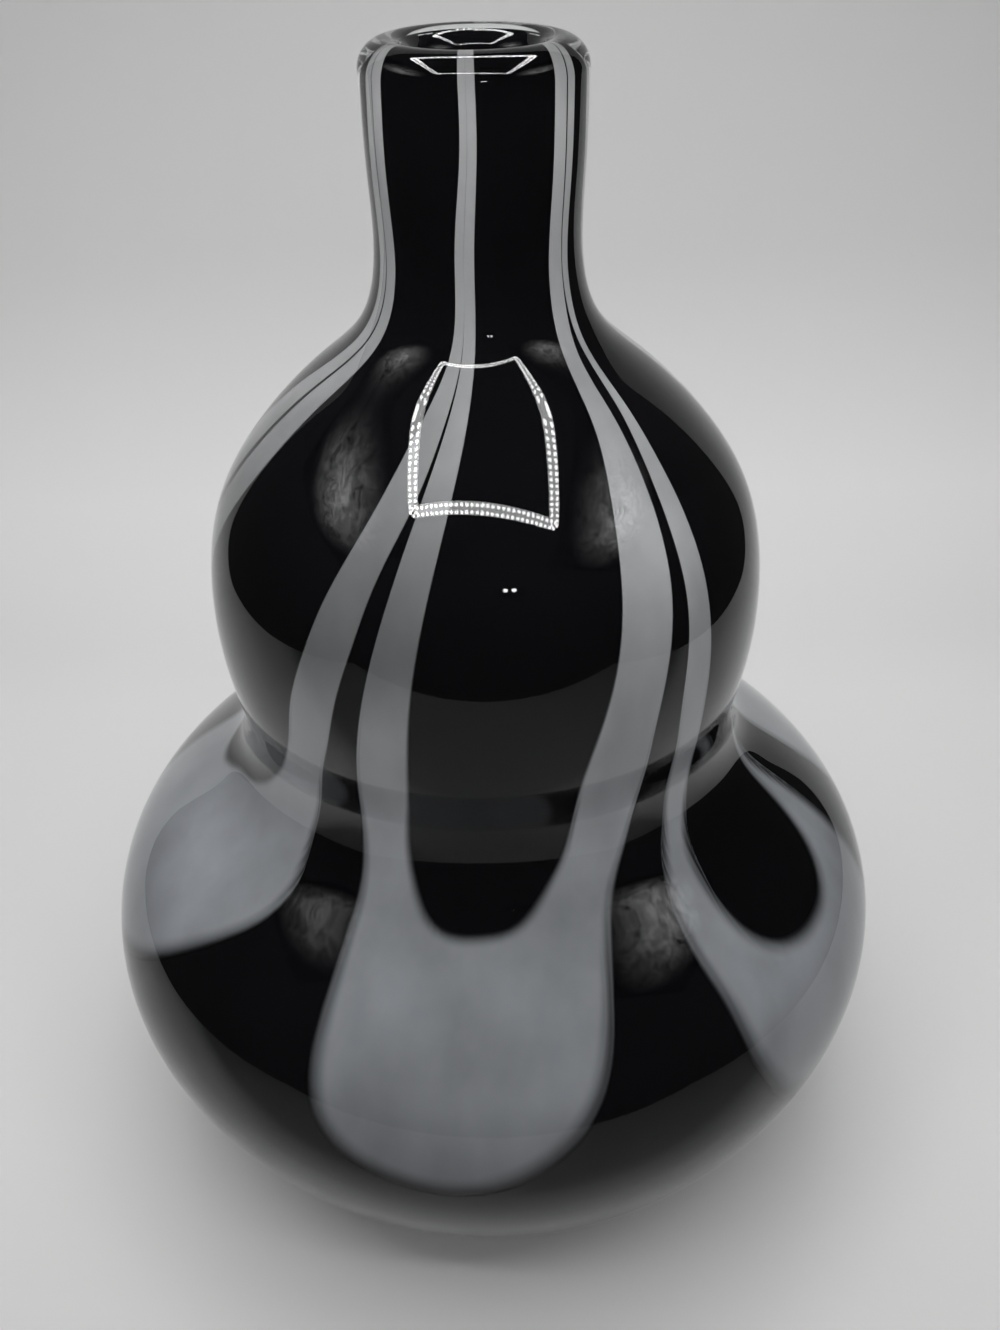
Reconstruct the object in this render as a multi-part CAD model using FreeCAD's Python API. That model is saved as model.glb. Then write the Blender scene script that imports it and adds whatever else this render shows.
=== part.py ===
"""Double gourd vase of cased glass: a black core, six white trailed loops and a thick clear casing.

Z is up, the origin is the middle of the foot, and the front loop hangs towards -Y. Millimetres and degrees.
"""
import FreeCAD, Part
import math
import os
from collections import namedtuple
from FreeCAD import Vector

Ring = namedtuple("Ring", "radius level lean casing core")

# Rings of the outer wall
height = 250.0
foot_radius = 50.0
lower_bulb_radius = 90.5
lower_bulb_height = 57.5
waist_radius = 51.0
waist_height = 114.7
upper_bulb_radius = 57.4
upper_bulb_height = 148.5
neck_radius = 19.4
neck_height = 213.6
lip_radius = 20.0
bore_radius = 10.4

# Lean of the outer wall, from level
foot_lean = 25.0
knee_lean = 62.0
lower_shoulder_lean = 146.0
underside_lean = 60.0
upper_shoulder_lean = 125.6
nape_lean = 139.0
upright = 90.0

# Places between two rings: share of the step in radius, share of the step in height
knee_shares = (0.67, 0.4)
lower_shoulder_shares = (0.684, 0.75)
underside_shares = (0.19, 0.104)
upper_shoulder_shares = (0.286, 0.451)
nape_shares = (0.743, 0.712)

# Clear casing over the core
casing_base_wall = 8.5
casing_wall = 4.5
casing_neck_wall = 6.5
knee_wall_share = 0.25
nape_wall_share = 0.5

# Black core
core_base_wall = 5.0
core_wall = 3.0
core_neck_wall = 2.5
rim_rise = 1.2
rim_crown_share = 0.5

# White loops, let into the core
loop_depth = 1.0
cutter_reach = 2.0 * lower_bulb_radius
points_per_edge = 40
least_bend = math.radians(0.5)
seam_turn = 41.0

# Outlines of the loops: turn about Z in degrees from the front, share of the height of the vase.
# The first list of each is the outside of the hung thread, and the second is the space inside the loop.
front_loop_shares = (
    [(-5.5, 0.978), (-5.2, 0.935), (-9.5, 0.87), (-9.3, 0.81), (-16, 0.725), (-21, 0.655), (-25, 0.59),
     (-28.5, 0.515), (-29.8, 0.45), (-28.2, 0.395), (-27.3, 0.345), (-26.5, 0.293), (-22, 0.25),
     (-13, 0.225), (-5, 0.219), (3.5, 0.236), (11, 0.272), (16, 0.318), (19, 0.358), (23, 0.391),
     (29.5, 0.427), (33.5, 0.475), (34.5, 0.54), (37.3, 0.6), (40.3, 0.655), (45.5, 0.722),
     (54.5, 0.777), (66, 0.83), (70, 0.885), (71.2, 0.978)],
    [(-0.5, 0.978), (0.5, 0.94), (-3, 0.87), (-3, 0.81), (-8.5, 0.724), (-12.4, 0.66), (-15, 0.592),
     (-17, 0.5), (-17.8, 0.445), (-15.5, 0.408), (-10.5, 0.385), (-3, 0.381), (3.5, 0.386),
     (9.5, 0.407), (14.5, 0.434), (17.3, 0.48), (18.3, 0.515), (21.5, 0.563), (25.3, 0.615),
     (28.3, 0.664), (32.4, 0.71), (38, 0.742), (45.5, 0.779), (52, 0.826), (56.9, 0.885), (59, 0.978)],
)
right_loop_shares = (
    [(73.2, 0.978), (71.8, 0.885), (68.5, 0.838), (60, 0.778), (50, 0.733), (46, 0.7), (44, 0.655),
     (42.8, 0.61), (41.2, 0.55), (42, 0.5), (41.5, 0.455), (38.5, 0.413), (34.8, 0.388), (33.4, 0.36),
     (34.5, 0.33), (36.3, 0.278), (38.5, 0.248), (43, 0.21), (49, 0.19), (58, 0.179), (67, 0.188),
     (75, 0.218), (79.5, 0.268), (80.8, 0.325), (80.3, 0.37), (80, 0.4), (83.5, 0.44), (89.5, 0.49),
     (95, 0.56), (99.5, 0.63), (104.8, 0.7), (110.3, 0.76), (115.2, 0.82), (118.2, 0.88), (119, 0.978)],
    [(82.5, 0.978), (79.3, 0.885), (74.7, 0.836), (63.5, 0.776), (55, 0.733), (51.5, 0.69), (50, 0.63),
     (49.6, 0.58), (49.3, 0.54), (50.5, 0.487), (50, 0.45), (46.5, 0.413), (44.2, 0.388), (44.2, 0.366),
     (46.5, 0.346), (51, 0.332), (57, 0.327), (63.5, 0.331), (68, 0.345), (71.5, 0.366), (74, 0.387),
     (76.5, 0.415), (80, 0.45), (84.5, 0.5), (89, 0.56), (93.5, 0.63), (98.5, 0.7), (104, 0.76),
     (108.8, 0.82), (111.5, 0.88), (112.5, 0.978)],
)
left_loop_shares = (
    [(-84, 0.978), (-84.5, 0.88), (-78.3, 0.83), (-76, 0.79), (-78.5, 0.76), (-80.5, 0.735), (-83, 0.69),
     (-87, 0.63), (-92, 0.56), (-97.5, 0.5), (-101.5, 0.44), (-103.5, 0.39), (-103, 0.335),
     (-101, 0.292), (-95, 0.26), (-86, 0.244), (-75, 0.25), (-66, 0.272), (-58.4, 0.302), (-52, 0.33),
     (-46, 0.354), (-42.6, 0.371), (-41.3, 0.388), (-42.3, 0.41), (-41.5, 0.45), (-38.5, 0.495),
     (-34, 0.54), (-30.5, 0.588), (-27, 0.63), (-22.4, 0.685), (-17.5, 0.724), (-13.4, 0.764),
     (-10.8, 0.81), (-11, 0.87), (-6.7, 0.935), (-7, 0.978)],
    [(-72, 0.978), (-73, 0.885), (-67.7, 0.833), (-66, 0.795), (-68, 0.75), (-71, 0.7), (-74, 0.67),
     (-79.5, 0.62), (-86, 0.55), (-91.5, 0.48), (-93.5, 0.42), (-92, 0.39), (-87, 0.373), (-81, 0.374),
     (-74, 0.388), (-66, 0.394), (-61, 0.407), (-57.5, 0.43), (-51.5, 0.48), (-46, 0.527),
     (-42.5, 0.572), (-38.5, 0.615), (-33.8, 0.664), (-27.7, 0.716), (-21.7, 0.766), (-16.3, 0.81),
     (-16.7, 0.87), (-10.9, 0.935), (-11.5, 0.978)],
)
left_back_loop_shares = (
    [(-136.5, 0.978), (-137, 0.88), (-138, 0.82), (-139.5, 0.76), (-141, 0.7), (-142.5, 0.63),
     (-144, 0.56), (-145.5, 0.5), (-147, 0.45), (-150.5, 0.41), (-154, 0.37), (-154, 0.32),
     (-151.5, 0.27), (-145, 0.235), (-136, 0.224), (-127, 0.232), (-120, 0.262), (-117.5, 0.31),
     (-116.5, 0.36), (-114.5, 0.4), (-110, 0.44), (-104.5, 0.5), (-98, 0.56), (-91.5, 0.63),
     (-85.5, 0.69), (-82.5, 0.735), (-80.3, 0.76), (-77.8, 0.79), (-80, 0.83), (-86.2, 0.88),
     (-85.7, 0.978)],
    [(-129.5, 0.978), (-130, 0.88), (-131, 0.82), (-132.5, 0.76), (-134, 0.7), (-135, 0.63),
     (-136.5, 0.56), (-138, 0.5), (-139.5, 0.45), (-138, 0.415), (-132.5, 0.4), (-126, 0.41),
     (-121, 0.44), (-115, 0.5), (-109.5, 0.56), (-103.5, 0.63), (-98.5, 0.69), (-94.5, 0.735),
     (-90.5, 0.76), (-87.5, 0.79), (-90, 0.83), (-98, 0.88), (-94.5, 0.978)],
)
back_loop_shares = (
    [(172.5, 0.978), (172, 0.88), (170.5, 0.82), (168, 0.76), (165, 0.7), (162, 0.63), (160, 0.56),
     (159, 0.5), (157, 0.45), (153.5, 0.405), (151.5, 0.36), (152, 0.31), (155, 0.265), (161.5, 0.232),
     (171, 0.22), (181, 0.226), (188.5, 0.25), (192.5, 0.295), (193.5, 0.345), (195.5, 0.39),
     (199.5, 0.43), (204.5, 0.475), (208.5, 0.54), (212, 0.61), (214.9, 0.68), (217.3, 0.75),
     (219.5, 0.81), (221.2, 0.87), (222, 0.978)],
    [(179.5, 0.978), (179, 0.88), (177.5, 0.82), (175, 0.76), (172.5, 0.7), (170, 0.63), (168.5, 0.56),
     (167.5, 0.5), (167, 0.45), (168.5, 0.41), (173.5, 0.388), (180, 0.386), (186, 0.4), (190.5, 0.43),
     (195.5, 0.475), (200, 0.54), (204, 0.61), (207.3, 0.68), (210, 0.75), (212.5, 0.81),
     (214.3, 0.87), (215, 0.978)],
)
right_back_loop_shares = (
    [(120.5, 0.978), (120, 0.88), (117.5, 0.82), (113.5, 0.76), (108.5, 0.7), (104, 0.63), (101, 0.56),
     (99, 0.5), (97, 0.45), (94.5, 0.41), (93.5, 0.37), (94, 0.32), (97, 0.272), (104, 0.238),
     (115, 0.222), (126, 0.228), (134, 0.255), (138.5, 0.3), (139.5, 0.35), (141.5, 0.39),
     (145.5, 0.43), (150, 0.475), (153, 0.54), (156.3, 0.61), (160.4, 0.68), (164.6, 0.75),
     (168, 0.81), (170.2, 0.87), (171, 0.978)],
    [(127.5, 0.978), (127, 0.88), (124.5, 0.82), (121, 0.76), (117, 0.7), (113, 0.63), (110, 0.56),
     (108, 0.5), (107.5, 0.45), (109.5, 0.41), (115, 0.388), (122.5, 0.384), (130, 0.398), (136, 0.43),
     (141, 0.475), (145, 0.54), (148.8, 0.61), (153, 0.68), (157.3, 0.75), (161, 0.81), (163.3, 0.87),
     (164, 0.978)],
)
loops = {
    "white_loop_front": front_loop_shares,
    "white_loop_right": right_loop_shares,
    "white_loop_right_back": right_back_loop_shares,
    "white_loop_back": back_loop_shares,
    "white_loop_left_back": left_back_loop_shares,
    "white_loop_left": left_loop_shares,
}


def blend(first, second, share):
    """A value part of the way from the first to the second."""
    return first + share * (second - first)


def between(first, second, shares, lean, walls):
    """A ring between two rings of the outer wall."""
    radius = blend(first.radius, second.radius, shares[0])
    level = blend(first.level, second.level, shares[1])
    return Ring(radius, level, lean, *walls)


def outer_rings():
    """Rings of the outer wall from the foot to the lip."""
    body_walls = (casing_wall, core_wall)
    neck_walls = (casing_neck_wall, core_neck_wall)
    knee_walls = (
        blend(casing_wall, casing_base_wall, knee_wall_share),
        blend(core_wall, core_base_wall, knee_wall_share),
    )
    nape_walls = (
        blend(casing_wall, casing_neck_wall, nape_wall_share),
        blend(core_wall, core_neck_wall, nape_wall_share),
    )
    foot = Ring(foot_radius, 0.0, foot_lean, casing_base_wall, core_base_wall)
    lower_bulb = Ring(lower_bulb_radius, lower_bulb_height, upright, *body_walls)
    waist = Ring(waist_radius, waist_height, upright, *body_walls)
    upper_bulb = Ring(upper_bulb_radius, upper_bulb_height, upright, *body_walls)
    neck = Ring(neck_radius, neck_height, upright, *neck_walls)
    lip_casing_wall = lip_radius - bore_radius - core_neck_wall
    lip = Ring(lip_radius, height - lip_bead_radius(), upright, lip_casing_wall, core_neck_wall)
    rings = [
        foot,
        between(foot, lower_bulb, knee_shares, knee_lean, knee_walls),
        lower_bulb,
        between(lower_bulb, waist, lower_shoulder_shares, lower_shoulder_lean, body_walls),
        waist,
        between(waist, upper_bulb, underside_shares, underside_lean, body_walls),
        upper_bulb,
        between(upper_bulb, neck, upper_shoulder_shares, upper_shoulder_lean, body_walls),
        between(upper_bulb, neck, nape_shares, nape_lean, nape_walls),
        neck,
        lip,
    ]
    return with_straight_neck(rings)


def with_straight_neck(rings):
    """The same rings, with the last two leaning along the straight neck between them."""
    neck, lip = rings[-2:]
    lean = math.degrees(math.atan2(lip.level - neck.level, lip.radius - neck.radius))
    return rings[:-2] + [neck._replace(lean=lean), lip._replace(lean=lean)]


def lip_bead_radius():
    """Radius of the fire-polished bead, half of the wall at the lip."""
    return (lip_radius - bore_radius) / 2


def inset(rings, depths):
    """Rings moved into the wall, square to it, by one depth each."""
    moved = []
    for ring, depth in zip(rings, depths):
        turn = math.radians(ring.lean)
        radius = ring.radius - depth * math.sin(turn)
        level = ring.level + depth * math.cos(turn)
        moved.append(ring._replace(radius=radius, level=level))
    return with_straight_neck(moved)


def place(ring):
    """The point of a ring in the XZ plane."""
    return Vector(ring.radius, 0, ring.level)


def on_axis(ring):
    """The point of the axis level with a ring."""
    return Vector(0, 0, ring.level)


def heading(ring):
    """The direction of the wall at a ring, on the way up."""
    turn = math.radians(ring.lean)
    return Vector(math.cos(turn), 0, math.sin(turn))


def span_edges(ring, following):
    """Edges between two rings: one arc that touches the wall's line at both, and a straight run."""
    start, end = place(ring), place(following)
    leave, arrive = heading(ring), heading(following)
    bend = math.radians(following.lean - ring.lean)
    if abs(bend) < least_bend:
        return [Part.makeLine(start, end)]
    chord = end - start
    first_run = (chord.x * arrive.z - chord.z * arrive.x) / math.sin(bend)
    last_run = (leave.x * chord.z - leave.z * chord.x) / math.sin(bend)
    corner = start + leave * first_run
    reach = min(first_run, last_run)
    arc_start, arc_end = corner - leave * reach, corner + arrive * reach
    sag = reach * math.tan(abs(bend) / 4)
    middle = (arc_start + arc_end) / 2 + (corner * 2 - arc_start - arc_end).normalize() * sag
    edges = [Part.Arc(arc_start, middle, arc_end).toShape()]
    if first_run > last_run:
        edges.insert(0, Part.makeLine(start, arc_start))
    else:
        edges.append(Part.makeLine(arc_end, end))
    return edges


def wall_edges(rings):
    """Smooth outline through the rings."""
    edges = []
    for ring, following in zip(rings, rings[1:]):
        edges += span_edges(ring, following)
    return edges


def turned(edges):
    """Solid of revolution about Z from the edges of a closed half section, with its seam at the back."""
    section = Part.Face(Part.Wire(Part.__sortEdges__(edges)))
    section.rotate(Vector(0, 0, 0), Vector(0, 0, 1), seam_turn)
    return section.revolve(Vector(0, 0, 0), Vector(0, 0, 1), 360)


def rim_edge(core_lip, bore_top):
    """Rounded rim of the core under the lip, from its outside to the bore."""
    crown_radius = blend(bore_top.x, core_lip.x, rim_crown_share)
    crown = Vector(crown_radius, 0, core_lip.z + rim_rise)
    return Part.Arc(core_lip, crown, bore_top).toShape()


def clear_casing(rings, core_rings):
    """Thick clear gather over the whole core, rolled over its rim into a fire-polished bead."""
    foot, lip = rings[0], rings[-1]
    core_foot, core_lip = core_rings[0], core_rings[-1]
    bore_top = Vector(bore_radius, 0, core_lip.level)
    bead_end = Vector(bore_radius, 0, lip.level)
    bead_top = Vector((lip.radius + bore_radius) / 2, 0, height)
    edges = wall_edges(rings) + wall_edges(core_rings)
    edges.append(Part.Arc(place(lip), bead_top, bead_end).toShape())
    edges.append(Part.makeLine(bead_end, bore_top))
    edges.append(rim_edge(place(core_lip), bore_top))
    edges.append(Part.makeLine(place(core_foot), on_axis(core_foot)))
    edges.append(Part.makeLine(on_axis(core_foot), on_axis(foot)))
    edges.append(Part.makeLine(on_axis(foot), place(foot)))
    return turned(edges)


def black_core(core_rings, hollow_rings):
    """Hollow black gather: the wall that holds the water, without the beds of the loops."""
    core_foot, core_lip = core_rings[0], core_rings[-1]
    hollow_foot, hollow_lip = hollow_rings[0], hollow_rings[-1]
    edges = wall_edges(core_rings) + wall_edges(hollow_rings)
    edges.append(rim_edge(place(core_lip), place(hollow_lip)))
    edges.append(Part.makeLine(place(hollow_foot), on_axis(hollow_foot)))
    edges.append(Part.makeLine(on_axis(hollow_foot), on_axis(core_foot)))
    edges.append(Part.makeLine(on_axis(core_foot), place(core_foot)))
    return turned(edges)


def glass_under_beds(core_rings):
    """Everything within the floor of the beds that the loops lie in."""
    bed_rings = inset(core_rings, [loop_depth] * len(core_rings))
    foot, lip = bed_rings[0], bed_rings[-1]
    edges = wall_edges(bed_rings)
    edges.append(Part.makeLine(place(lip), on_axis(lip)))
    edges.append(Part.makeLine(on_axis(lip), on_axis(foot)))
    edges.append(Part.makeLine(on_axis(foot), place(foot)))
    return turned(edges)


def radius_finder(rings):
    """A function that gives the wall's radius at a height."""
    points = []
    for edge in wall_edges(rings):
        points += edge.discretize(points_per_edge)
    points.sort(key=lambda point: point.z)

    def radius_at(level):
        for low, high in zip(points, points[1:]):
            if low.z <= level < high.z:
                return blend(low.x, high.x, (level - low.z) / (high.z - low.z))
        return points[-1].x

    return radius_at


def flat_edge(turns_and_shares, facing, radius_at):
    """Smooth edge of a loop as seen from the side that the loop faces, in the XZ plane."""
    points = []
    for turn, share in turns_and_shares:
        level = share * height
        points.append(Vector(radius_at(level) * math.sin(math.radians(turn - facing)), 0, level))
    edge = Part.BSplineCurve()
    edge.interpolate(points)
    return edge.toShape()


def loop_bed(shares, under_beds, radius_at):
    """The space of one hung loop: its outline seen from the side that it faces, down to its bed."""
    outside, inside = shares
    facing = (min(outside)[0] + max(outside)[0]) / 2
    outer = flat_edge(outside, facing, radius_at)
    inner = flat_edge(inside, facing, radius_at)
    edges = [outer, inner]
    for end in (0, -1):
        edges.append(Part.makeLine(outer.Vertexes[end].Point, inner.Vertexes[end].Point))
    outline = Part.Face(Part.Wire(Part.__sortEdges__(edges)))
    prism = outline.extrude(Vector(0, -cutter_reach, 0))
    prism.rotate(Vector(0, 0, 0), Vector(0, 0, 1), facing)
    return prism.cut(under_beds)


def build():
    """Every sub-part of the vase by name."""
    rings = outer_rings()
    core_rings = inset(rings, [ring.casing for ring in rings])
    hollow_rings = inset(core_rings, [ring.core for ring in core_rings])
    core = black_core(core_rings, hollow_rings)
    under_beds = glass_under_beds(core_rings)
    radius_at = radius_finder(core_rings)
    beds = {name: loop_bed(shares, under_beds, radius_at) for name, shares in loops.items()}
    parts = {name: core.common(bed) for name, bed in beds.items()}
    parts["black_core"] = core.cut(list(beds.values()))
    parts["clear_casing"] = clear_casing(rings, core_rings)
    return parts


os.makedirs("parts", exist_ok=True)
for name, shape in build().items():
    solid = shape.Solids[0]
    print(name, "solids", len(shape.Solids), "valid", solid.isValid(), "volume", round(solid.Volume))
    solid.exportStep(f"parts/{name}.step")
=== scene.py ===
"""Double gourd vase of cased glass: black core, white trailed loops and a thick clear casing.

Everything is in metres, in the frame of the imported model: Z up, the foot on the origin.
"""
import math
import bmesh
import bpy
import numpy as np
from mathutils import Matrix, Vector
from mathutils.kdtree import KDTree


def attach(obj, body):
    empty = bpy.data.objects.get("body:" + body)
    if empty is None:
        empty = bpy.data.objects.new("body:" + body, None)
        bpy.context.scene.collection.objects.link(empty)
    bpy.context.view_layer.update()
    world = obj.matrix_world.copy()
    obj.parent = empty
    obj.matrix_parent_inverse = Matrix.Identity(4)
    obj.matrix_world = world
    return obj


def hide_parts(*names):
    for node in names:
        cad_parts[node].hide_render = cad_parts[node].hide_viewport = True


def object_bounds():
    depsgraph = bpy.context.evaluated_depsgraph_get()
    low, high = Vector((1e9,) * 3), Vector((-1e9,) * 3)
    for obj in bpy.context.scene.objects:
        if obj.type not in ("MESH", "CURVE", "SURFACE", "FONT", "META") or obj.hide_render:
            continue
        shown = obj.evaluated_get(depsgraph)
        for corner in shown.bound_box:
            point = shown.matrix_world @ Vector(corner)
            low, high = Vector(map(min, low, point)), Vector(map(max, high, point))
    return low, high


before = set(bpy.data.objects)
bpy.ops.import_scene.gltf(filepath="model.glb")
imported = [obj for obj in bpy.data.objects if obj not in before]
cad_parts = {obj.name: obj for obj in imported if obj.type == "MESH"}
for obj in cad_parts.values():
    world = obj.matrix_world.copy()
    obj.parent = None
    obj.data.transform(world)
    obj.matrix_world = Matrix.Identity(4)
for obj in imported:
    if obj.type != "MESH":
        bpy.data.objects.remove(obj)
cad_low, cad_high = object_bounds()

# Outer wall, foot to lip: radius and height at each station
vase_height = cad_high[2] - cad_low[2]
widest_radius = 0.0905
lip_radius = 0.02
bore_radius = 0.0104
bead_radius = (lip_radius - bore_radius) / 2
lip_level = vase_height - bead_radius
outer_stations = [
    (0.05, 0.0), (0.0615, 0.006), (0.0736, 0.018), (0.0843, 0.036), (widest_radius, 0.0572),
    (0.0863, 0.077), (0.075, 0.091), (0.0652, 0.099), (0.0572, 0.1065), (0.0544, 0.116), (0.0563, 0.13),
    (0.0574, 0.148), (0.0538, 0.166), (0.0448, 0.18), (0.0327, 0.192), (0.0225, 0.202),
    (0.0194, 0.213), (0.0196, 0.229), (lip_radius, lip_level),
]

# Walls at heights up the vase: height, clear casing, black core
wall_heights = [0.0, 0.023, 0.0575, 0.178, 0.195, 0.2136, 0.2452]
casing_walls = [0.0085, 0.0055, 0.0045, 0.0045, 0.0055, 0.0065, 0.0071]
core_walls = [0.005, 0.0035, 0.003, 0.003, 0.00275, 0.0025, 0.0025]
core_rim_gap = 0.00025

# How deep the casing reaches into the core, and the loops' outside and inside from the core's wall
buried_depth = 0.0012
loop_lift = 0.00012
loop_depth = 0.0009

# Fineness of the meshes
turn_steps = 192
profile_steps = 210
inner_steps = 110
bead_steps = 28
rim_steps = 16
loop_half_steps = 110
loop_columns = 25
steps_between_knots = 40
outline_points = 500
weld_distance = 1e-6

# Outlines of the loops: turn about Z in degrees from the front, share of the height of the vase.
# The first list of each is the outside of the hung thread, and the second is the space inside the loop.
front_loop = (
    [(-6.2, 1.0), (-5.9, 0.935), (-10.2, 0.87), (-10, 0.81), (-16, 0.725), (-21, 0.655), (-25, 0.59),
     (-28.5, 0.515), (-29.8, 0.45), (-28.2, 0.395), (-27.3, 0.345), (-26.5, 0.293), (-22, 0.25),
     (-13, 0.225), (-5, 0.219), (3.5, 0.236), (11, 0.272), (16, 0.318), (19, 0.358), (23, 0.391),
     (29.5, 0.427), (33.5, 0.475), (34.5, 0.54), (37.3, 0.6), (40.3, 0.655), (45.5, 0.722),
     (54.5, 0.777), (66, 0.83), (70, 0.885), (71.2, 1.0)],
    [(-0.5, 1.0), (0.5, 0.94), (-3, 0.87), (-3, 0.81), (-8.5, 0.724), (-12.4, 0.66), (-15, 0.592),
     (-17, 0.5), (-17.8, 0.452), (-15.8, 0.418), (-11.2, 0.395), (-3, 0.391), (3.5, 0.395),
     (9.5, 0.413), (14.5, 0.44), (17.3, 0.48), (18.3, 0.515), (21.5, 0.563), (25.3, 0.615),
     (28.3, 0.664), (32.4, 0.71), (38, 0.742), (45.5, 0.779), (52, 0.826), (56.9, 0.885), (59, 1.0)],
)
right_loop = (
    [(73.2, 1.0), (71.8, 0.885), (68.5, 0.838), (60, 0.778), (50, 0.733), (46, 0.7), (44, 0.655),
     (42.8, 0.61), (41.2, 0.55), (42, 0.5), (41.5, 0.455), (38.5, 0.413), (34.8, 0.388), (33.4, 0.36),
     (34.5, 0.33), (36.3, 0.278), (38.5, 0.248), (43, 0.21), (49, 0.19), (58, 0.179), (67, 0.188),
     (75, 0.218), (79.5, 0.268), (80.8, 0.325), (80.3, 0.37), (80, 0.4), (83.5, 0.44), (89.5, 0.49),
     (95, 0.56), (99.5, 0.63), (104.8, 0.7), (110.3, 0.76), (115.2, 0.82), (118.2, 0.88), (119, 1.0)],
    [(82.5, 1.0), (79.3, 0.885), (74.7, 0.836), (63.5, 0.776), (55, 0.733), (51.5, 0.69), (50, 0.63),
     (49.6, 0.58), (49.3, 0.54), (50.5, 0.487), (50, 0.45), (46.5, 0.413), (44.2, 0.388), (44.2, 0.366),
     (46.5, 0.346), (51, 0.332), (57, 0.327), (63.5, 0.331), (68, 0.345), (71.5, 0.366), (74, 0.387),
     (76.5, 0.415), (80, 0.45), (84.5, 0.5), (89, 0.56), (93.5, 0.63), (98.5, 0.7), (104, 0.76),
     (108.8, 0.82), (111.5, 0.88), (112.5, 1.0)],
)
left_loop = (
    [(-84, 1.0), (-84.5, 0.88), (-78.3, 0.83), (-76, 0.79), (-78.5, 0.76), (-80.5, 0.735), (-83, 0.69),
     (-87, 0.63), (-92, 0.56), (-97.5, 0.5), (-101.5, 0.44), (-103.5, 0.39), (-103, 0.335),
     (-101, 0.292), (-95, 0.26), (-86, 0.244), (-75, 0.25), (-66, 0.272), (-58.4, 0.302), (-52, 0.33),
     (-46, 0.354), (-42.6, 0.371), (-41.3, 0.388), (-42.3, 0.41), (-41.5, 0.45), (-38.5, 0.495),
     (-34, 0.54), (-30.5, 0.588), (-27, 0.63), (-22.4, 0.685), (-17.5, 0.724), (-13.4, 0.764),
     (-10.1, 0.81), (-10.3, 0.87), (-6, 0.935), (-6.3, 1.0)],
    [(-72, 1.0), (-73, 0.885), (-67.7, 0.833), (-66, 0.795), (-68, 0.75), (-71, 0.7), (-74, 0.67),
     (-79.5, 0.62), (-87, 0.55), (-93, 0.49), (-95.5, 0.44), (-94.5, 0.412), (-90, 0.396), (-84, 0.398),
     (-78, 0.41), (-71, 0.42), (-65, 0.432), (-60, 0.45), (-52.5, 0.486), (-46, 0.527),
     (-42.5, 0.572), (-38.5, 0.615), (-33.8, 0.664), (-27.7, 0.716), (-21.7, 0.766), (-16.3, 0.81),
     (-16.7, 0.87), (-10.9, 0.935), (-11.5, 1.0)],
)
left_back_loop = (
    [(-136.5, 1.0), (-137, 0.88), (-138, 0.82), (-139.5, 0.76), (-141, 0.7), (-142.5, 0.63),
     (-144, 0.56), (-145.5, 0.5), (-147, 0.45), (-150.5, 0.41), (-154, 0.37), (-154, 0.32),
     (-151.5, 0.27), (-145, 0.235), (-136, 0.224), (-127, 0.232), (-120, 0.262), (-117.5, 0.31),
     (-116.5, 0.36), (-114.5, 0.4), (-110, 0.44), (-104.5, 0.5), (-98, 0.56), (-91.5, 0.63),
     (-85.5, 0.69), (-82.5, 0.735), (-80.3, 0.76), (-77.8, 0.79), (-80, 0.83), (-86.2, 0.88),
     (-85.7, 1.0)],
    [(-129.5, 1.0), (-130, 0.88), (-131, 0.82), (-132.5, 0.76), (-134, 0.7), (-135, 0.63),
     (-136.5, 0.56), (-138, 0.5), (-139.5, 0.45), (-138, 0.415), (-132.5, 0.4), (-126, 0.41),
     (-121, 0.44), (-115, 0.5), (-109.5, 0.56), (-103.5, 0.63), (-98.5, 0.69), (-94.5, 0.735),
     (-90.5, 0.76), (-87.5, 0.79), (-90, 0.83), (-98, 0.88), (-94.5, 1.0)],
)
back_loop = (
    [(172.5, 1.0), (172, 0.88), (170.5, 0.82), (168, 0.76), (165, 0.7), (162, 0.63), (160, 0.56),
     (159, 0.5), (157, 0.45), (153.5, 0.405), (151.5, 0.36), (152, 0.31), (155, 0.265), (161.5, 0.232),
     (171, 0.22), (181, 0.226), (188.5, 0.25), (192.5, 0.295), (193.5, 0.345), (195.5, 0.39),
     (199.5, 0.43), (204.5, 0.475), (208.5, 0.54), (212, 0.61), (214.9, 0.68), (217.3, 0.75),
     (219.5, 0.81), (221.2, 0.87), (222, 1.0)],
    [(179.5, 1.0), (179, 0.88), (177.5, 0.82), (175, 0.76), (172.5, 0.7), (170, 0.63), (168.5, 0.56),
     (167.5, 0.5), (167, 0.45), (168.5, 0.41), (173.5, 0.388), (180, 0.386), (186, 0.4), (190.5, 0.43),
     (195.5, 0.475), (200, 0.54), (204, 0.61), (207.3, 0.68), (210, 0.75), (212.5, 0.81),
     (214.3, 0.87), (215, 1.0)],
)
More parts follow.
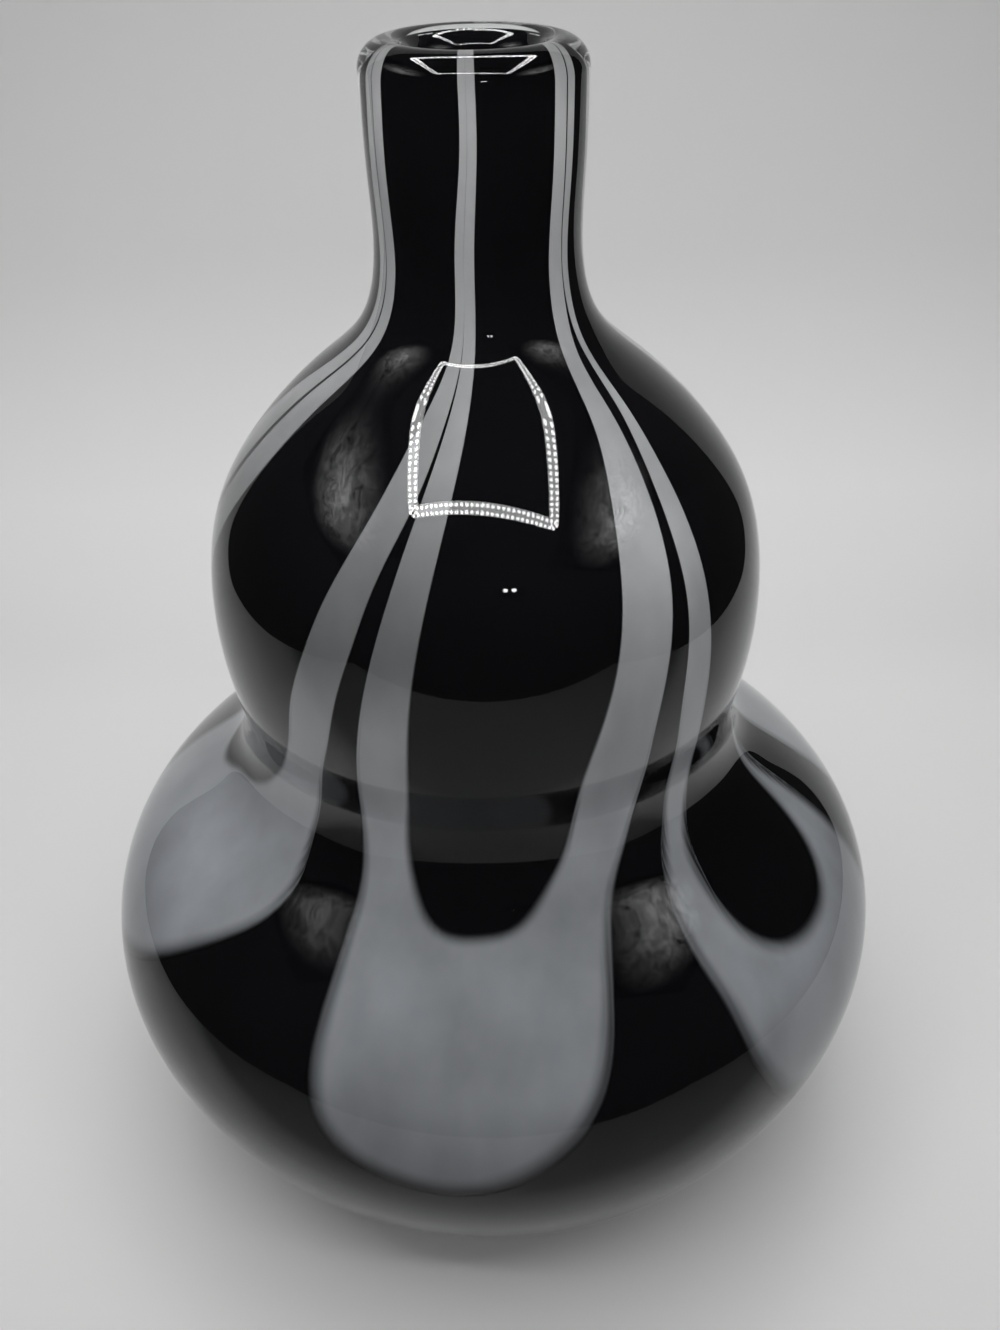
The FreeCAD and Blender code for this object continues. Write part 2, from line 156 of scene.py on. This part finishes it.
right_back_loop = (
    [(120.5, 1.0), (120, 0.88), (117.5, 0.82), (113.5, 0.76), (108.5, 0.7), (104, 0.63), (101, 0.56),
     (99, 0.5), (97, 0.45), (94.5, 0.41), (93.5, 0.37), (94, 0.32), (97, 0.272), (104, 0.238),
     (115, 0.222), (126, 0.228), (134, 0.255), (138.5, 0.3), (139.5, 0.35), (141.5, 0.39),
     (145.5, 0.43), (150, 0.475), (153, 0.54), (156.3, 0.61), (160.4, 0.68), (164.6, 0.75),
     (168, 0.81), (170.2, 0.87), (171, 1.0)],
    [(127.5, 1.0), (127, 0.88), (124.5, 0.82), (121, 0.76), (117, 0.7), (113, 0.63), (110, 0.56),
     (108, 0.5), (107.5, 0.45), (109.5, 0.41), (115, 0.388), (122.5, 0.384), (130, 0.398), (136, 0.43),
     (141, 0.475), (145, 0.54), (148.8, 0.61), (153, 0.68), (157.3, 0.75), (161, 0.81), (163.3, 0.87),
     (164, 1.0)],
)
loops = {
    "white_loop_front": front_loop,
    "white_loop_right": right_loop,
    "white_loop_right_back": right_back_loop,
    "white_loop_back": back_loop,
    "white_loop_left_back": left_back_loop,
    "white_loop_left": left_loop,
}

# Clear glass, with faint waves from the blowing
clear_colour = (0.97, 0.985, 0.98, 1)
glass_ior = 1.5
wave_pattern = {"Scale": 22, "Detail": 1}
wave_strength = 0.12
wave_height = 0.001

# Black glass: deepest and palest tone of its clouds, and its sheen where it meets the casing or the air
black_deep = (0.0008, 0.0008, 0.001, 1)
black_pale = (0.0025, 0.0025, 0.003, 1)
cloud_pattern = {"Scale": 30, "Detail": 6}
black_roughness = 0.05
sheen_in_casing = 0.0
sheen_in_air = 0.5

# White glass: tone at shares of the vase's height, partly the white's own and partly painted light that
# brightens it towards the neck, and streaks along the thread
white_and_painted_light_tones = [
    (0.2, (0.1, 0.104, 0.113)), (0.4, (0.125, 0.129, 0.137)), (0.47, (0.19, 0.195, 0.205)),
    (0.55, (0.17, 0.174, 0.18)), (0.64, (0.163, 0.165, 0.169)), (0.95, (0.187, 0.187, 0.19)),
]
white_roughness = 0.4
streak_pattern = {"Scale": 70, "Detail": 4}
streak_stretch = 0.35
streak_range = (0.3, 0.7)
streak_tones = (0.85, 1.12)

# Where the legs left of the middle are thin: axis, start and end of each change, share before and after it
thin_changes = [
    ("Z", 0.135, 0.158, 0, 1),
    ("Z", 0.165, 0.208, 1, 0),
    ("X", -0.012, 0.012, 1, 0),
    ("X", -0.06, -0.045, 0, 1),
]
thin_share = 0.46

# How the white gets fuller away from the middle
side_change = (0.02, 0.07)
side_share = 1.3

# How far the white fades into the black at its edges: share of the vase's height, share of the widest fade
widest_blur = 0.007
blur_shares = [
    (0, 1), (0.2, 0.95), (0.34, 0.6), (0.42, 0.35), (0.5, 0.18), (0.65, 0.07), (0.8, 0.02), (1, 0.015),
]
black_edge = (0.0017, 0.0017, 0.002, 1)

# Light box: a pale sweep on a wide floor. Its tones are painted light and shade, palest behind the vase and
# darker to the front and the top; they go with Y plus Z, which is the way along the sweep.
sweep_left, sweep_right = -0.47, 0.415
sweep_front, sweep_back = -0.4, 0.32
sweep_top = 0.62
sweep_bend = 0.12
bend_steps = 16
sweep_painted_light_tones = [
    (-0.085, 0.47), (-0.03, 0.53), (0.05, 0.57), (0.155, 0.66), (0.3, 0.71), (0.42, 0.64), (0.6, 0.53),
]
paper_roughness = 0.9
paper_sheen = 0.1
floor_side = 6
floor_drop = 0.0005

# Painted shade: a dark apron at the open front of the box, which only the glass mirrors
apron_back = -0.085
apron_lift = 0.0003
apron_painted_shade_tones = [(-0.3, 0.23), (-0.13, 0.2), (apron_back, 0.47)]

# Ring of lamps above the vase: corners, and two rows of bead lamps on a board along each side
ring_height = 0.4
ring_corners = [(-0.14, -0.17), (0.142, -0.2), (0.092, 0.045), (-0.092, 0.045)]
strip_width = 0.022
strip_watts = 0.42
bead_pitch = 0.0095
bead_lamp_radius = 0.0034
bead_row_gap = 0.0115
bead_sides = 10
bead_glow = 26
board_glow = 6
board_lift = 0.001

# Two small lights by the camera, and the baffle that hides them from the shoulders
camera_lights = [(0.035, -0.269, 0.3), (0.051, -0.27, 0.3)]
camera_light_radius = 0.005
camera_baffle = (0.0425, -0.2635, 0.285)
camera_baffle_sides = (0.05, 0.026)

# Painted glints: glowing panels at both sides of the ring, grainy and fading to their edges, which the glass
# mirrors as soft patches
glint_panel_places = [(-0.315, -0.06), (0.315, -0.13)]
glint_panel_sides = (0.31, 0.4)
glint_panel_glow = 7
glint_grain_pattern = {"Scale": 26, "Detail": 8, "Roughness": 0.78, "Distortion": 0.8}
glint_grain_range = (0.33, 0.72)

# Lamps that light the vase but aren't mirrored
fill_place = (0, -0.1, 1.3)
fill_width = 1.2
fill_watts = 2.4
front_place = (0, -0.6, 0.35)
front_turn = (math.radians(62), 0, 0)
front_width = 0.5
front_watts = 1.1

# Strength of the pale room for the camera and through glass, for matt surfaces, and in mirrored rays
room_seen = 0.5
room_on_matt = 0.28
room_mirrored = 0.02

# Camera, from the photograph's perspective
camera_place = Vector((0.0, -0.24154, 0.28498))
camera_tilt = math.radians(34.12)
camera_pan = math.radians(0.508)
camera_roll = math.radians(-1.401)
focal_share = 1300 / 1330
sensor_size = 36.0
nearest_seen = 0.01


def smooth_curve(points, count):
    """Even points along a natural cubic spline through the given ones."""
    knots = np.asarray(points, float)
    lengths = np.linalg.norm(np.diff(knots, axis=0), axis=1)
    size = len(knots)
    system = np.eye(size)
    pull = np.zeros_like(knots)
    for index in range(1, size - 1):
        before, after = lengths[index - 1], lengths[index]
        system[index, index - 1:index + 2] = before, 2 * (before + after), after
        rise = (knots[index + 1] - knots[index]) / after
        pull[index] = 6 * (rise - (knots[index] - knots[index - 1]) / before)
    bends = np.linalg.solve(system, pull)
    fine = []
    for index, span in enumerate(lengths):
        along = np.linspace(0, 1, steps_between_knots, endpoint=index == size - 2)[:, None]
        back = 1 - along
        chord = back * knots[index] + along * knots[index + 1]
        bulge = (back ** 3 - back) * bends[index] + (along ** 3 - along) * bends[index + 1]
        fine.append(chord + span ** 2 / 6 * bulge)
    return even(np.vstack(fine), count)


def even(points, count):
    """The same line with its points evenly spaced."""
    steps = np.linalg.norm(np.diff(points, axis=0), axis=1)
    travelled = np.concatenate([[0], np.cumsum(steps)])
    wanted = np.linspace(0, travelled[-1], count)
    return np.column_stack([np.interp(wanted, travelled, column) for column in points.T])


def inset(profile, walls):
    """A profile moved square to itself into the glass."""
    along = np.gradient(profile, axis=0)
    along /= np.linalg.norm(along, axis=1)[:, None]
    into = np.column_stack([-along[:, 1], along[:, 0]])
    depth = np.interp(profile[:, 1], wall_heights, walls)
    return profile + into * depth[:, None]


outer_wall = smooth_curve(outer_stations, profile_steps)
core_wall = inset(outer_wall, casing_walls)
hollow_wall = inset(core_wall, core_walls)


def smooth_object(name, shape):
    """Object from a bmesh, shaded smooth."""
    mesh = bpy.data.meshes.new(name)
    shape.to_mesh(mesh)
    shape.free()
    mesh.shade_smooth()
    piece = bpy.data.objects.new(name, mesh)
    bpy.context.scene.collection.objects.link(piece)
    return piece


def new_piece(name, shape, *nodes):
    """Piece of the vase from a bmesh, which rides on the vase and stands for the nodes."""
    piece = smooth_object(name, shape)
    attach(piece, "root")
    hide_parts(*nodes)
    return piece


def spun(profile):
    """Closed bmesh of revolution about Z from a half section that starts and ends on the axis."""
    shape = bmesh.new()
    line = [shape.verts.new((radius, 0, level)) for radius, level in profile]
    edges = [shape.edges.new(pair) for pair in zip(line, line[1:])]
    bmesh.ops.spin(
        shape, geom=line + edges, cent=(0, 0, 0), axis=(0, 0, 1), dvec=(0, 0, 0),
        angle=math.tau, steps=turn_steps, use_merge=True, use_duplicate=False,
    )
    bmesh.ops.remove_doubles(shape, verts=shape.verts, dist=weld_distance)
    bmesh.ops.recalc_face_normals(shape, faces=shape.faces)
    return shape


def on_axis(point):
    """The point of the axis level with the given one."""
    return [(0.0, point[1])]


def make_casing():
    """Clear gather: outer wall, rolled lip, and an inner wall buried in the core to leave no air between."""
    middle = lip_radius - bead_radius
    bead = []
    for turn in np.linspace(0, math.pi, bead_steps)[1:]:
        bead.append((middle + bead_radius * math.cos(turn), lip_level + bead_radius * math.sin(turn)))
    buried = inset(core_wall, [buried_depth] * len(wall_heights))
    buried = even(buried[buried[:, 1] < lip_level - buried_depth], inner_steps)[::-1]
    profile = on_axis(outer_wall[0]) + list(map(tuple, outer_wall)) + bead + list(map(tuple, buried))
    profile += on_axis(buried[-1])
    return new_piece("clear_casing_glass", spun(profile), "clear_casing")


def make_core():
    """Black gather with its rounded rim and its hollow."""
    rim = list(map(tuple, rim_line(0)[1:]))
    inside = even(hollow_wall, inner_steps)[::-1]
    profile = on_axis(core_wall[0]) + list(map(tuple, core_wall)) + rim + list(map(tuple, inside))
    profile += on_axis(inside[-1])
    return new_piece("black_core_glass", spun(profile), "black_core")


def rim_of_loop(points):
    """One outline of a loop as turns and heights, with as many points on each side of its lowest one."""
    mean_radius = (lip_radius + widest_radius) / 2
    rolled_out = [(math.radians(turn) * mean_radius, share * vase_height) for turn, share in points]
    curve = smooth_curve(rolled_out, outline_points)
    lowest = int(np.argmin(curve[:, 1]))
    down = even(curve[:lowest + 1], loop_half_steps)
    up = even(curve[lowest:], loop_half_steps)
    return np.vstack([down, up[1:]]) / [mean_radius, 1]


def rim_line(lift):
    """Section of the core's rim: up from its wall, then inward under the rounded lip down to the bore."""
    reach = bead_radius - core_rim_gap + lift
    middle = lip_radius - bead_radius
    outside = core_wall[-1][0] + lift
    start = math.acos((outside - middle) / reach)
    line = [(outside, lip_level)]
    for turn in np.linspace(start, math.pi, rim_steps):
        line.append((middle + reach * math.cos(turn), lip_level + reach * math.sin(turn)))
    return np.array(line)


def on_core(turn, level, lift):
    """The place on the core's outside at a turn and a height; above its wall it follows the rim."""
    radius = np.interp(level, core_wall[:, 1], core_wall[:, 0]) + lift
    if level > lip_level:
        rim = rim_line(lift)
        travelled = np.concatenate([[0], np.cumsum(np.linalg.norm(np.diff(rim, axis=0), axis=1))])
        radius, level = (np.interp(level - lip_level, travelled, column) for column in rim.T)
    return Vector((radius * math.sin(turn), -radius * math.cos(turn), level))


def make_loop(name, outlines):
    """One hung loop: a strip between its two outlines, let into the core."""
    outside, inside = (rim_of_loop(points) for points in outlines)
    shape = bmesh.new()
    line = [shape.verts.new((turn, level, 0)) for turn, level in outside]
    edges = [shape.edges.new(pair) for pair in zip(line, line[1:])]
    across = bmesh.ops.extrude_edge_only(shape, edges=edges)["geom"]
    partners = {vert.co.copy().freeze(): vert for vert in across if isinstance(vert, bmesh.types.BMVert)}
    cross = []
    for vert, (turn, level) in zip(line, inside):
        partner = partners[vert.co.copy().freeze()]
        cross.append(shape.edges.get((vert, partner)))
        partner.co = (turn, level, 0)
    bmesh.ops.subdivide_edges(shape, edges=cross, cuts=loop_columns, use_grid_fill=True)
    borders = KDTree(len(outside) + len(inside))
    for index, (turn, level) in enumerate(np.vstack([outside, inside])):
        borders.insert(on_core(turn, level, 0), index)
    borders.balance()
    raised = bmesh.ops.extrude_face_region(shape, geom=shape.faces[:], use_keep_orig=True)["geom"]
    raised = [item for item in raised if isinstance(item, bmesh.types.BMVert)]
    bmesh.ops.translate(shape, verts=shape.verts[:], vec=(0, 0, -loop_depth))
    bmesh.ops.translate(shape, verts=raised, vec=(0, 0, loop_depth + loop_lift))
    for vert in shape.verts:
        vert.co = on_core(*vert.co)
    bmesh.ops.recalc_face_normals(shape, faces=shape.faces)
    piece = new_piece(name + "_glass", shape, name)
    gap = piece.data.attributes.new("edge_gap", "FLOAT", "POINT")
    for index, vert in enumerate(piece.data.vertices):
        gap.data[index].value = borders.find(vert.co)[2]
    return piece


def new_material(name):
    """Material, its node tree and its Principled shader."""
    material = bpy.data.materials.new(name)
    material.use_nodes = True
    tree = material.node_tree
    return material, tree, tree.nodes["Principled BSDF"]


def connect(tree, node, inputs):
    """Plain values and other nodes' outputs into the sockets of a node."""
    for socket, value in inputs.items():
        if isinstance(value, bpy.types.NodeSocket):
            tree.links.new(value, node.inputs[socket])
        else:
            node.inputs[socket].default_value = value
    return node


def add_node(tree, kind, inputs, **traits):
    """New node of a kind, with its traits and its inputs."""
    node = tree.nodes.new("ShaderNode" + kind)
    for trait, value in traits.items():
        setattr(node, trait, value)
    return connect(tree, node, inputs)


def place_on_piece(tree):
    """Node output of the place on the piece."""
    return add_node(tree, "TexCoord", {}).outputs["Object"]


def noise(tree, vector, pattern):
    """Node output of a noise pattern."""
    return add_node(tree, "TexNoise", {"Vector": vector, **pattern}).outputs["Fac"]


def maths(tree, operation, *values):
    """Node output of an operation on one value or two."""
    return add_node(tree, "Math", dict(enumerate(values)), operation=operation).outputs["Value"]


def ranged(tree, value, start, end, low=0, high=1, way="LINEAR"):
    """Node output that goes from low to high as the value goes from start to end."""
    inputs = {"Value": value, "From Min": start, "From Max": end, "To Min": low, "To Max": high}
    return add_node(tree, "MapRange", inputs, interpolation_type=way).outputs["Result"]


def eased(tree, value, start, end, low=0, high=1):
    """The same, but starting and ending softly."""
    return ranged(tree, value, start, end, low, high, "SMOOTHSTEP")


def grey(tone):
    """Colour of an even grey."""
    return (tone, tone, tone, 1)


def ramp(tree, value, stops):
    """Node output of colours that follow the value: position and colour at each stop."""
    node = add_node(tree, "ValToRGB", {"Fac": value})
    elements = node.color_ramp.elements
    elements[0].position = stops[0][0]
    elements[1].position = stops[-1][0]
    for position, colour in stops[1:-1]:
        elements.new(position).color = colour
    elements[0].color = stops[0][1]
    elements[-1].color = stops[-1][1]
    return node.outputs["Color"]


def to_surface(tree, output):
    """A shader's output to the surface of the material."""
    connect(tree, tree.nodes["Material Output"], {"Surface": output})


def see_through(tree, shader, where):
    """Takes the shader away where the value is 1."""
    gap = add_node(tree, "BsdfTransparent", {}).outputs["BSDF"]
    either = add_node(tree, "MixShader", {"Fac": where, 1: shader.outputs["BSDF"], 2: gap})
    to_surface(tree, either.outputs["Shader"])


def clear_glass():
    """Thick clear glass, faintly wavy, that lets lamp light through to the core."""
    material, tree, shader = new_material("clear_glass")
    waves = noise(tree, place_on_piece(tree), wave_pattern)
    bump = add_node(tree, "Bump", {"Strength": wave_strength, "Distance": wave_height, "Height": waves})
    connect(tree, shader, {
        "Base Color": clear_colour,
        "Roughness": 0.0,
        "IOR": glass_ior,
        "Transmission Weight": 1.0,
        "Normal": bump.outputs["Normal"],
    })
    see_through(tree, shader, add_node(tree, "LightPath", {}).outputs["Is Shadow Ray"])
    return material


def black_glass(name, sheen):
    """Opaque black glass, faintly cloudy."""
    material, tree, shader = new_material(name)
    clouds = noise(tree, place_on_piece(tree), cloud_pattern)
    connect(tree, shader, {
        "Base Color": ramp(tree, clouds, [(0, black_deep), (1, black_pale)]),
        "Roughness": black_roughness,
        "Specular IOR Level": sheen,
    })
    return material


def white_glass():
    """Thin opaque white glass over black, streaked along the thread and fading out at its edges; its tone by
    height is partly painted light.
    """
    material, tree, shader = new_material("white_glass")
    place = place_on_piece(tree)
    parts = add_node(tree, "SeparateXYZ", {"Vector": place}).outputs
    share = maths(tree, "DIVIDE", parts["Z"], vase_height)
    # Tone by height: partly the white's own, partly painted light brightening it towards the neck
    white = ramp(tree, share, [(level, (*tone, 1)) for level, tone in white_and_painted_light_tones])

    stretched = add_node(tree, "Mapping", {"Vector": place, "Scale": (1, 1, streak_stretch)})
    streaks = noise(tree, stretched.outputs["Vector"], streak_pattern)
    streak_tone = ranged(tree, streaks, *streak_range, *streak_tones)
    thinned = 1
    for axis, start, end, before, after in thin_changes:
        thinned = maths(tree, "MULTIPLY", thinned, eased(tree, parts[axis], start, end, before, after))
    thin_tone = ranged(tree, thinned, 0, 1, 1, thin_share)
    side_tone = eased(tree, maths(tree, "ABSOLUTE", parts["X"]), *side_change, 1, side_share)
    strength = maths(tree, "MULTIPLY", streak_tone, maths(tree, "MULTIPLY", thin_tone, side_tone))
    streaked = add_node(tree, "VectorMath", {0: white, "Scale": strength}, operation="SCALE")

    edge = add_node(tree, "Attribute", {}, attribute_name="edge_gap").outputs["Fac"]
    blur_share = ramp(tree, share, [(level, grey(tone)) for level, tone in blur_shares])
    fade = eased(tree, edge, 0, maths(tree, "MULTIPLY", blur_share, widest_blur))
    colours = {"Factor": fade, "A": black_edge, "B": streaked.outputs["Vector"]}
    connect(tree, shader, {
        "Base Color": add_node(tree, "Mix", colours, data_type="RGBA").outputs["Result"],
        "Roughness": white_roughness,
        "Specular IOR Level": 0.0,
    })
    return material


def dress():
    """Every piece of the vase with its material."""
    casing = make_casing()
    casing.data.materials.append(clear_glass())
    core = make_core()
    core.data.materials.append(black_glass("black_glass_in_casing", sheen_in_casing))
    core.data.materials.append(black_glass("black_glass_in_air", sheen_in_air))
    for face in core.data.polygons:
        outward = Vector((face.center.x, face.center.y, 0))
        if face.center.z < lip_level and face.normal.dot(outward) < 0:
            face.material_index = 1
    white = white_glass()
    for name, outlines in loops.items():
        loop = make_loop(name, outlines)
        loop.data.materials.append(white)


def stage_piece(name, shape, material):
    """Piece of the stage from a bmesh."""
    piece = smooth_object(name, shape)
    piece.data.materials.append(material)
    return piece


def lay_sheet(shape, middle, sides, turn=0.0):
    """A flat rectangle in a bmesh, turned about Z."""
    place = Matrix.Translation(middle) @ Matrix.Rotation(turn, 4, "Z") @ Matrix.Diagonal((*sides, 1, 1))
    bmesh.ops.create_grid(shape, x_segments=1, y_segments=1, size=0.5, matrix=place)


def sheet_piece(name, middle, sides, material):
    """Flat rectangle of the stage."""
    shape = bmesh.new()
    lay_sheet(shape, middle, sides)
    return stage_piece(name, shape, material)


def mirrored_only(piece):
    """Lets a piece of the stage show in reflections alone."""
    piece.visible_camera = False
    piece.visible_diffuse = False
    piece.visible_transmission = False
    piece.visible_shadow = False


def paper(name, tones, one_sided):
    """Matt paper whose tones along the sweep are painted light and shade; if one-sided, it is see-through
    from behind.
    """
    material, tree, shader = new_material(name)
    parts = add_node(tree, "SeparateXYZ", {"Vector": place_on_piece(tree)}).outputs
    first, last = tones[0][0], tones[-1][0]
    way = ranged(tree, maths(tree, "ADD", parts["Y"], parts["Z"]), first, last)
    stops = [((position - first) / (last - first), grey(tone)) for position, tone in tones]
    connect(tree, shader, {
        "Base Color": ramp(tree, way, stops),
        "Roughness": paper_roughness,
        "Specular IOR Level": paper_sheen,
    })
    if one_sided:
        see_through(tree, shader, add_node(tree, "NewGeometry", {}).outputs["Backfacing"])
    return material


def make_sweep():
    """Pale paper sweep that the vase stands on, open at the front."""
    shape = bmesh.new()
    bend_start = sweep_back - sweep_bend
    line = [(sweep_front, 0.0), (bend_start, 0.0)]
    for turn in np.linspace(0, math.pi / 2, bend_steps)[1:]:
        line.append((bend_start + sweep_bend * math.sin(turn), sweep_bend * (1 - math.cos(turn))))
    line.append((sweep_back, sweep_top))
    verts = [shape.verts.new((sweep_left, depth, level)) for depth, level in line]
    edges = [shape.edges.new(pair) for pair in zip(verts, verts[1:])]
    moved = bmesh.ops.extrude_edge_only(shape, edges=edges)["geom"]
    across = [item for item in moved if isinstance(item, bmesh.types.BMVert)]
    bmesh.ops.translate(shape, verts=across, vec=(sweep_right - sweep_left, 0, 0))
    bmesh.ops.recalc_face_normals(shape, faces=shape.faces)
    shape.normal_update()
    floor_face = min(shape.faces, key=lambda face: face.calc_center_median().z)
    if floor_face.normal.z < 0:
        bmesh.ops.reverse_faces(shape, faces=shape.faces)
    # The sweep's paper carries painted light: brighter behind the vase, darker to the front and the top
    stage_piece("paper_sweep", shape, paper("sweep_paper_painted_light", sweep_painted_light_tones, True))


def make_floor():
    """Wide floor around the sweep that the glass doesn't mirror, and the apron of painted shade that it
    does.
    """
    # The wide floor carries the same painted light as the sweep
    floor_painted_light = paper("floor_painted_light", sweep_painted_light_tones, False)
    floor = sheet_piece("wide_floor", (0, 0, -floor_drop), (floor_side, floor_side), floor_painted_light)
    floor.visible_glossy = False
    floor.visible_diffuse = False
    middle = ((sweep_left + sweep_right) / 2, (sweep_front + apron_back) / 2, apron_lift)
    sides = (sweep_right - sweep_left, apron_back - sweep_front)
    # Dark sheet of painted shade in front of the sweep, seen only in the glass
    apron = sheet_piece("painted_shade_apron", middle, sides, paper("apron_painted_shade", apron_painted_shade_tones, False))
    mirrored_only(apron)
    apron.visible_transmission = True


def glowing(name, glow):
    """Material that only glows, its node tree and its lamp."""
    material, tree, _ = new_material(name)
    lamp = add_node(tree, "Emission", {"Strength": glow})
    to_surface(tree, lamp.outputs["Emission"])
    return material, tree, lamp


def area_lamp(name, watts, place, turn=(0, 0, 0), **traits):
    """Area lamp that is neither seen nor mirrored."""
    lamp = bpy.data.lights.new(name, "AREA")
    for trait, value in traits.items():
        setattr(lamp, trait, value)
    lamp.energy = watts
    piece = bpy.data.objects.new(name, lamp)
    piece.location = place
    piece.rotation_euler = turn
    piece.visible_camera = False
    piece.visible_glossy = False
    bpy.context.scene.collection.objects.link(piece)


def make_ring():
    """The ring's lamps, each side with its beads and its board, and the lights by the camera."""
    beads = bmesh.new()
    boards = bmesh.new()
    for near, far in zip(ring_corners, ring_corners[1:] + ring_corners[:1]):
        start, end = Vector((*near, ring_height)), Vector((*far, ring_height))
        length = (end - start).length
        along = (end - start).normalized()
        aside = along.cross(Vector((0, 0, 1)))
        middle = (start + end) / 2
        turn = math.atan2(along.y, along.x)
        area_lamp(
            "strip_lamp", strip_watts, middle, (0, 0, turn),
            shape="RECTANGLE", size=length, size_y=strip_width,
        )
        count = int(length / bead_pitch)
        for index in range(count + 1):
            for side in (-0.5, 0.5):
                bead = Matrix.Translation(start.lerp(end, index / count) + aside * bead_row_gap * side)
                bmesh.ops.create_circle(
                    beads, cap_ends=True, segments=bead_sides, radius=bead_lamp_radius, matrix=bead,
                )
        lay_sheet(boards, middle + Vector((0, 0, board_lift)), (length, strip_width), turn)
    for place in camera_lights:
        upright = Matrix.Translation(place) @ Matrix.Rotation(math.pi / 2, 4, "X")
        bmesh.ops.create_circle(
            beads, cap_ends=True, segments=bead_sides, radius=camera_light_radius, matrix=upright,
        )
    mirrored_only(stage_piece("bead_lamps", beads, glowing("bead_light", bead_glow)[0]))
    mirrored_only(stage_piece("lamp_boards", boards, glowing("board_light", board_glow)[0]))
    black = glowing("baffle_black", 0)[0]
    mirrored_only(sheet_piece("camera_baffle", camera_baffle, camera_baffle_sides, black))


def make_glint_panels():
    """Glowing panels beside the ring, grainy and fading to their edges, seen only in reflections: painted
    glints, soft patches in the glass.
    """
    for across, ahead in glint_panel_places:
        middle = (across, ahead, ring_height)
        reach = (glint_panel_sides[0] / 2, glint_panel_sides[1] / 2, 1)
        material, tree, lamp = glowing("painted_glint_panel", glint_panel_glow)
        place = place_on_piece(tree)
        frame_of_panel = {"Vector": place, "Location": middle, "Scale": reach}
        centred = add_node(tree, "Mapping", frame_of_panel, vector_type="TEXTURE").outputs["Vector"]
        falloff = add_node(tree, "TexGradient", {"Vector": centred}, gradient_type="QUADRATIC_SPHERE")
        # Grain of the painted glints
        glint_grain = ranged(tree, noise(tree, place, glint_grain_pattern), *glint_grain_range)
        connect(tree, lamp, {"Color": maths(tree, "MULTIPLY", falloff.outputs["Fac"], glint_grain)})
        mirrored_only(sheet_piece("painted_glint_panel", middle, glint_panel_sides, material))


def make_lights():
    """A broad soft fill from above, a weak one from the front, and a pale room behind the stage."""
    area_lamp("soft_fill", fill_watts, fill_place, shape="DISK", size=fill_width)
    area_lamp("front_fill", front_watts, front_place, front_turn, size=front_width)
    world = bpy.data.worlds.new("room")
    bpy.context.scene.world = world
    world.use_nodes = True
    tree = world.node_tree
    path = add_node(tree, "LightPath", {}).outputs
    seen = maths(tree, "MAXIMUM", path["Is Camera Ray"], path["Is Transmission Ray"])
    unseen_strength = ranged(tree, path["Is Diffuse Ray"], 0, 1, room_mirrored, room_on_matt)
    strength = ranged(tree, seen, 0, 1, unseen_strength, room_seen)
    connect(tree, tree.nodes["Background"], {"Color": grey(1), "Strength": strength})


def make_camera():
    """Camera where the photograph was taken from."""
    ahead = Vector((0, math.cos(camera_tilt), -math.sin(camera_tilt)))
    up = Vector((0, math.sin(camera_tilt), math.cos(camera_tilt)))
    right = Vector((1, 0, 0))
    ahead, right = (
        math.cos(camera_pan) * ahead + math.sin(camera_pan) * right,
        math.cos(camera_pan) * right - math.sin(camera_pan) * ahead,
    )
    right, up = (
        math.cos(camera_roll) * right + math.sin(camera_roll) * up,
        math.cos(camera_roll) * up - math.sin(camera_roll) * right,
    )
    lens = bpy.data.cameras.new("camera")
    lens.sensor_width = sensor_size
    lens.sensor_height = sensor_size
    lens.lens = sensor_size * focal_share
    lens.clip_start = nearest_seen
    camera = bpy.data.objects.new("camera", lens)
    turn = Matrix((right, up, -ahead)).transposed()
    camera.matrix_world = Matrix.Translation(camera_place) @ turn.to_4x4()
    bpy.context.scene.collection.objects.link(camera)
    bpy.context.scene.camera = camera


dress()
make_sweep()
make_floor()
make_ring()
make_glint_panels()
make_lights()
make_camera()
bpy.context.scene.view_settings.view_transform = "Standard"
